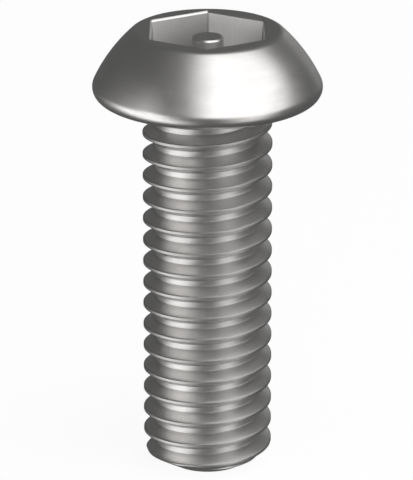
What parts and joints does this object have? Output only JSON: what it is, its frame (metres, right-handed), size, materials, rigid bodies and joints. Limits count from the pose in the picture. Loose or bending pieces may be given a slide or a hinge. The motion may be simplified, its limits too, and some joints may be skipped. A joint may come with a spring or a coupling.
{
  "type": "button head screw",
  "caption": "Fully threaded M4 machine screw with a low domed button head and a hexagon socket that has a security pin standing in its middle.",
  "frame": {"origin": "centre of the bearing face under the head, where it crosses the screw's axis", "axes": "+Z along the screw's axis, out of the top of the head; the shank points along -Z; two corners of the hexagon socket lie on the Y axis; the thread is right-handed"},
  "size_m": [0.007, 0.007, 0.0141],
  "materials": {
    "steel": "satin"
  },
  "bodies": {
    "root": {"screw": "steel"}
  },
  "joints": []
}
